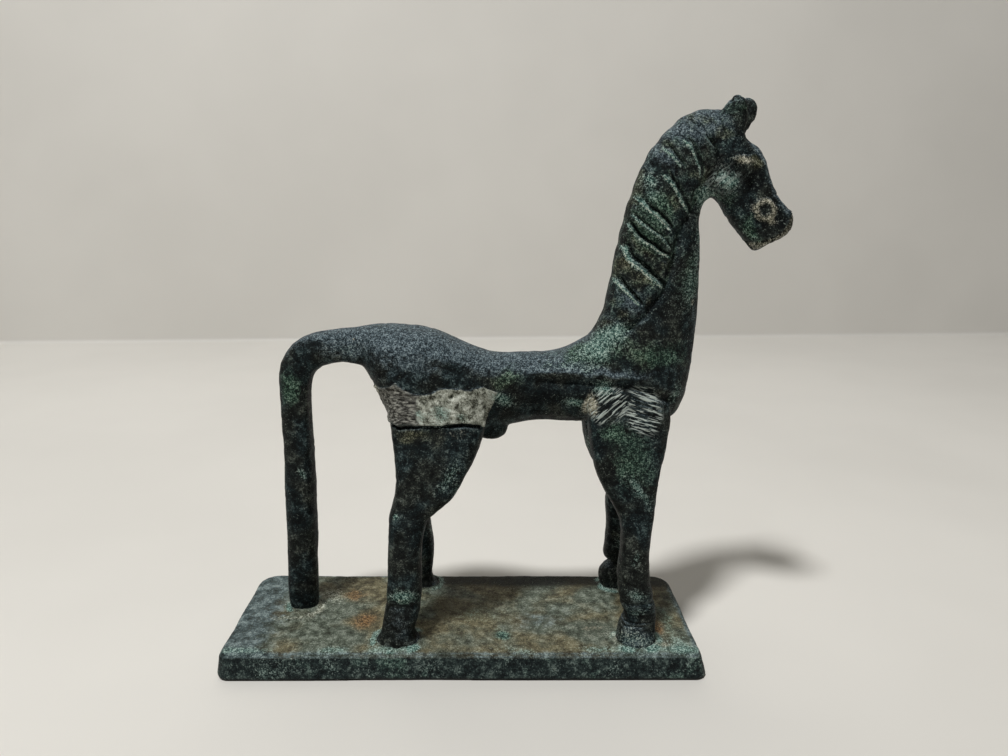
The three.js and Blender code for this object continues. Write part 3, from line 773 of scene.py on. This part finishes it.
def bronze_material():
    r = Recipe("patinated bronze")
    big = r.noise(9.0, 3.0, 0.5, 0.1)
    body = r.noise(2.4, 6.0, 0.7, 0.2)
    grit = r.noise(0.8, 4.0, 0.75, 0.3)
    dust = r.noise(0.34, 2.0, 0.6, 0.4)
    fine = r.math("MULTIPLY", r.math("ADD", grit, dust), 0.5)
    mixed = r.math("MULTIPLY", r.math("ADD", body, fine), 0.5)
    tone = r.ramp(mixed, ("#05090a", "#0f181a", "#202c2e", "#4c5c5c"), 0.42, 0.58)
    brown = r.ramp(mixed, ("#080907", "#181914", "#2c2c25", "#5a594b"), 0.42, 0.58)
    tone = r.mix(r.spread(big, 0.44, 0.62, 0.0, 0.6), tone, brown)
    # Lighter blue-grey: dust and painted sheen
    slate_dust_and_sheen = r.ramp(fine, ("#1c2428", "#3a464c", "#5b6a70", "#8c9ba0"), 0.42, 0.58)
    tone = r.mix(r.broken(r.read("slate_dust_and_sheen"), body), tone, slate_dust_and_sheen)
    olive = r.ramp(fine, ("#17180f", "#333527", "#535441", "#8a8a72"), 0.42, 0.58)
    tone = r.mix(r.broken(r.read("olive"), body), tone, olive)
    green = r.ramp(fine, ("#0b1713", "#20352d", "#44604f", "#86a08d"), 0.42, 0.58)
    tone = r.mix(r.broken(r.read("green"), body), tone, green)
    grey = r.ramp(r.noise(0.5, 4.0, 0.7, 0.5, 6.0), ("#1d1c19", "#4c4b46", "#70706a", "#a5a59b"), 0.4, 0.6)
    chalk = r.ramp(mixed, ("#3b3c33", "#85887b", "#b1b4a7", "#dfe2d6"), 0.42, 0.58)
    grey = r.mix(r.broken(r.read("chalk"), body), grey, chalk)
    tone = r.mix(r.broken(r.read("band"), fine, 0.8), tone, grey)
    # Lighter raised places: wear and painted edge sheen
    wear_and_edge_sheen = r.math("MULTIPLY", r.broken(r.read("wear_and_edge_sheen"), fine), 0.35)
    tone = r.mix(wear_and_edge_sheen, tone, colour("#75817c"))
    # Near-black painted shade in hollows and grooves, with the crack and dark stains
    shade_and_stain = r.math("MULTIPLY", r.broken(r.read("shade_and_stain"), body), 0.92)
    tone = r.mix(shade_and_stain, tone, colour("#04070a"))
    teal = r.ramp(fine, ("#1d3833", "#4a6c64", "#7d9b91", "#b7cbc1"), 0.42, 0.58)
    tone = r.mix(r.broken(r.read("turquoise"), fine, 2.0), tone, teal)
    cream = r.ramp(fine, ("#4a4a3d", "#85836f", "#b3b09c", "#dad7c6"), 0.42, 0.58)
    tone = r.mix(r.broken(r.read("pale"), fine, 2.0), tone, cream)
    up_strokes = r.noise(0.46, 2.0, 0.5, 0.6, 14.0, 40.0)
    down_strokes = r.noise(0.46, 2.0, 0.5, 0.7, 10.0, -16.0)
    lines = r.math("MULTIPLY", r.read("rising"), r.spread(up_strokes, 0.51, 0.58))
    more = r.math("MULTIPLY", r.read("falling"), r.spread(down_strokes, 0.52, 0.6))
    lines = r.math("ADD", lines, more)
    tone = r.mix(r.math("MULTIPLY", lines, 0.9), tone, colour("#c6d0c8"))
    r.join(tone, r.shader.inputs["Base Color"])
    r.join(r.spread(grit, 0.3, 0.7, 0.4, 0.66), r.shader.inputs["Roughness"])
    r.shader.inputs["Metallic"].default_value = 0.12
    r.shader.inputs["Specular IOR Level"].default_value = 0.12
    normal = r.bump(body, 0.9, 0.6)
    normal = r.bump(fine, 0.6, 0.9, normal)
    normal = r.bump(lines, 0.15, 0.6, normal)
    r.join(normal, r.shader.inputs["Normal"])
    return r.material


def plinth_material():
    r = Recipe("patinated plate")
    big = r.noise(14.0, 3.0, 0.5, 1.1)
    body = r.noise(2.4, 6.0, 0.7, 1.2)
    grit = r.noise(0.8, 4.0, 0.75, 1.3)
    dust = r.noise(0.34, 2.0, 0.6, 1.4)
    fine = r.math("MULTIPLY", r.math("ADD", grit, dust), 0.5)
    mixed = r.math("MULTIPLY", r.math("ADD", body, fine), 0.5)
    side = r.ramp(mixed, ("#0b1213", "#1b2526", "#303c3a", "#64726d"), 0.42, 0.58)
    top = r.ramp(mixed, ("#34382f", "#525a4e", "#6b7366", "#949c8f"), 0.42, 0.58)
    tan = r.ramp(mixed, ("#3b3729", "#5c5743", "#757056", "#989379"), 0.42, 0.58)
    top = r.mix(r.spread(big, 0.42, 0.6), top, tan)
    blue = r.ramp(mixed, ("#242e2e", "#435051", "#5f6d6d", "#8b9a99"), 0.42, 0.58)
    top = r.mix(r.broken(r.read("blue"), body), top, blue)
    tone = r.mix(r.read("up"), side, top)
    green = r.ramp(fine, ("#0c1a17", "#263f39", "#4b6a5f", "#8ba697"), 0.42, 0.58)
    tone = r.mix(r.broken(r.read("green"), body), tone, green)
    rust = r.ramp(fine, ("#2f2317", "#5b452d", "#80623f", "#a98a62"), 0.42, 0.58)
    tone = r.mix(r.broken(r.read("rust"), body), tone, rust)
    # Near-black painted shade in hollows, round the soles, along the plate's foot and across its back strip
    shade_and_stain = r.math("MULTIPLY", r.broken(r.read("shade_and_stain"), body), 0.9)
    tone = r.mix(shade_and_stain, tone, colour("#080c0c"))
    teal = r.ramp(fine, ("#1d3833", "#4a6c64", "#7d9b91", "#b7cbc1"), 0.42, 0.58)
    tone = r.mix(r.broken(r.read("turquoise"), fine, 2.0), tone, teal)
    cream = r.ramp(fine, ("#4a4b3f", "#80826f", "#a8ab99", "#d3d7c8"), 0.42, 0.58)
    tone = r.mix(r.broken(r.read("pale"), fine, 2.0), tone, cream)
    r.join(tone, r.shader.inputs["Base Color"])
    r.join(r.spread(grit, 0.3, 0.7, 0.45, 0.7), r.shader.inputs["Roughness"])
    r.shader.inputs["Metallic"].default_value = 0.1
    r.shader.inputs["Specular IOR Level"].default_value = 0.15
    normal = r.bump(body, 0.6, 0.5)
    normal = r.bump(fine, 0.45, 0.8, normal)
    r.join(normal, r.shader.inputs["Normal"])
    return r.material


def sole_distance(p, soles):
    """How far each place is from the nearest of the horse's soles, level, in mm."""
    tree = KDTree(len(soles))
    for k, (x, y) in enumerate(soles):
        tree.insert((x, y, 0.0), k)
    tree.balance()
    return np.array([tree.find((x, y, 0.0))[2] for x, y in p[:, :2]])


def plinth_relief(p, gap):
    """The plate's uneven top, its soft front edge, and the metal that runs up round each foot."""
    top = step(p[:, 2], PLATE_TOP - 0.9, PLATE_TOP - 0.3)
    plate = 0.12 * noise(p, 8.0, 13) + 0.07 * rough(p, 2.4, 15) + 0.04 * noise(p, 0.9, 17)
    crust = bell(gap, 0.9) * (0.55 + 0.3 * rough(p, 2.0, 19))
    tail = p[:, :2] - np.array(TAIL_FOOT)
    r = np.hypot(*tail.T)
    spatter = step(rough(p, 3.0, 29) + 0.9 - 0.14 * r, 0.1, 0.5) * 0.35
    dip = -0.35 * bell(p[:, 1] + 20.5, 1.8)
    return top * (plate + crust + spatter + dip) + (1.0 - top) * step(p[:, 2], 0.3, 1.2) * plate


def make_plinth_skin(soles):
    skin = Skin("plinth", PLINTH_GRID)
    before = skin.p.copy()
    skin.p = skin.averaged(skin.p, PLINTH_ROUNDS)
    lost = np.einsum("ij,ij->i", before - skin.p, skin.normals())
    skin.push(0.6 * lost + PLINTH_SWELL)
    skin.gap = sole_distance(skin.p, soles)
    relief = plinth_relief(skin.p, skin.gap)
    skin.push(relief)
    skin.fit(CRUST_ROOF)
    skin.thinned(PLINTH_TRIANGLES)
    skin.gap = sole_distance(skin.p, soles)
    return skin


def paint_plinth(skin):
    p = skin.p
    n = skin.normals()
    xy = p[:, :2] + 1.2 * np.stack([noise(p, 4.0, 83), noise(p, 4.0, 84)], 1)
    hollow = skin.hollows()
    deep = step(hollow, 0.02, 0.14)
    proud = step(-hollow, 0.02, 0.14)
    top = step(n[:, 2], 0.45, 0.9)
    rim = np.minimum(60.0 - np.abs(p[:, 0]), 20.6 - np.abs(p[:, 1]))
    back = step(p[:, 1] + 1.5 * noise(p, 9.0, 86), 10.5, 15.5)
    near_feet = bell(skin.gap - 0.8, 1.0)
    r = np.hypot(*(xy - np.array(TAIL_FOOT)).T)
    skin.paint("up", top)
    skin.paint("blue", top * (0.8 * step(-p[:, 0], 44.0, 54.0) + 0.7 * step(3.0 - rim, 0.0, 2.5)
                              + 0.5 * spot(xy, (20.0, -4.0), 8.0, 6.0)) + 0.3 * proud)
    skin.paint("turquoise", top * (0.55 * bell(p[:, 1] + 18.2, 1.6) * step(noise(p, 6.0, 85), -0.4, 0.4)
                                   + 0.8 * near_feet * step(noise(p, 3.0, 87), -0.3, 0.5)
                                   + 0.5 * spot(xy, (55.0, -15.0), 3.0, 4.0))
               + (1.0 - top) * 0.35 * step(rough(p, 5.0, 89), -0.1, 0.6))
    skin.paint("green", top * (0.9 * spot(xy, (9.7, -11.4), 2.2, 2.4, 30)
                               + 0.35 * spot(xy, (4.0, -2.0), 9.0, 5.0)
                               + 0.5 * spot(xy, (54.0, -4.0), 3.0, 9.0))
               + (1.0 - top) * 0.4 * step(rough(p, 7.0, 88), -0.2, 0.6))
    skin.paint("rust", top * (0.7 * spot(xy, (-31.0, 8.0), 3.0, 4.0)
                              + 0.8 * spot(xy, (-26.0, -5.0), 4.0, 5.0)
                              + 0.7 * spot(xy, (51.0, -8.0), 1.8, 5.0)
                              + 0.3 * spot(xy, (34.0, -8.0), 6.0, 4.0)))
    skin.paint("pale", top * (0.7 * bell(r - 3.2, 1.1) * step(xy[:, 0], -47.0, -40.0)
                              + 0.6 * spot(xy, (-37.0, 8.0), 3.5, 4.0, 30)
                              + 0.5 * spot(xy, (-46.0, -4.0), 5.0, 1.0)
                              + 0.5 * spot(xy, (38.5, -13.0), 1.2, 3.0)
                              + 0.6 * spot(xy, (51.0, -15.5), 3.0, 0.9)))
    # Painted shade: mostly the barrel's shadow across the back strip and under the belly, a dark contact ring
    # round each sole, a dark line along the plate's foot, and darker hollows
    shade = top * (0.75 * back * step(p[:, 0], -22.0, -10.0) + 0.35 * spot(xy, (-6.0, 4.0), 6.0, 8.0))
    contact_shadow_line = (1.0 - top) * 0.8 * step(0.9 - p[:, 2], 0.0, 0.5)
    skin.paint("shade_and_stain", 0.6 * deep + 0.5 * bell(skin.gap - 0.2, 0.3) + contact_shadow_line + shade)


# Stage
def plain_material(name, code, rough_value):
    r = Recipe(name)
    cloud = r.noise(180.0, 3.0)
    r.join(r.mix(r.spread(cloud, 0.3, 0.7), colour(code), colour("#e0ddd6")), r.shader.inputs["Base Color"])
    r.shader.inputs["Roughness"].default_value = rough_value
    return r.material


def make_stage():
    """A pale table that turns up into a pale wall, as one swept sheet."""
    wall, corner, reach, rise, slant = 0.4405, 0.003, 2.2, 1.6, 0.093
    profile = [(-2.6, 0.0), (-0.6, 0.0), (0.0, 0.0), (wall - corner, 0.0)]
    for k in range(1, 9):
        turn = math.radians(90 * k / 8)
        profile.append((wall - corner + corner * math.sin(turn), corner - corner * math.cos(turn)))
    profile.append((wall, rise))
    verts = [(x, y + slant * x, z) for x in (-reach, reach) for y, z in profile]
    n = len(profile)
    faces = [(k, n + k, n + k + 1, k + 1) for k in range(n - 1)]
    mesh = bpy.data.meshes.new("backdrop")
    mesh.from_pydata(verts, [], faces)
    mesh.shade_smooth()
    mesh.materials.append(plain_material("matt white", "#e6e3dc", 0.6))
    sheet = bpy.data.objects.new("backdrop", mesh)
    bpy.context.scene.collection.objects.link(sheet)


def make_camera():
    pitch, yaw, roll = (math.radians(v) for v in (CAMERA_PITCH, CAMERA_YAW, CAMERA_ROLL))
    ahead = Vector((math.sin(yaw) * math.cos(pitch), math.cos(yaw) * math.cos(pitch), -math.sin(pitch)))
    level = Vector((math.cos(yaw), -math.sin(yaw), 0.0))
    upright = level.cross(ahead)
    right = math.cos(roll) * level + math.sin(roll) * upright
    up = -math.sin(roll) * level + math.cos(roll) * upright
    data = bpy.data.cameras.new("camera")
    data.sensor_width = SENSOR_WIDTH
    data.lens = CAMERA_LENS
    data.clip_start = 0.01
    camera = bpy.data.objects.new("camera", data)
    turn = Matrix((right, up, -ahead)).transposed().to_4x4()
    camera.matrix_world = Matrix.Translation(Vector(CAMERA_PLACE) * MM) @ turn
    bpy.context.scene.collection.objects.link(camera)
    bpy.context.scene.camera = camera


def make_lights():
    toward = Vector((-28.0, -41.0, 122.0)).normalized()
    data = bpy.data.lights.new("key", "AREA")
    data.shape = "DISK"
    data.size = 0.16
    data.energy = 13.0
    key = bpy.data.objects.new("key", data)
    key.location = Vector((0.02, 0.0, 0.06)) + toward * 1.25
    key.rotation_euler = toward.to_track_quat("Z", "Y").to_euler()
    bpy.context.scene.collection.objects.link(key)
    world = bpy.data.worlds.new("room")
    world.use_nodes = True
    world.node_tree.nodes["Background"].inputs["Color"].default_value = (1.0, 0.99, 0.97, 1.0)
    world.node_tree.nodes["Background"].inputs["Strength"].default_value = 0.07
    bpy.context.scene.world = world
    bpy.context.scene.view_settings.view_transform = "Standard"


make_camera()
make_lights()
make_stage()

horse = make_horse_skin()
paint_horse(horse)
horse.piece("bronze_horse", bronze_material(), "bronze")

soles = horse.p[horse.p[:, 2] < PLATE_TOP + 0.15][:, :2]
plinth = make_plinth_skin(soles)
paint_plinth(plinth)
plinth.piece("bronze_plinth", plinth_material(), "plinth_bronze")
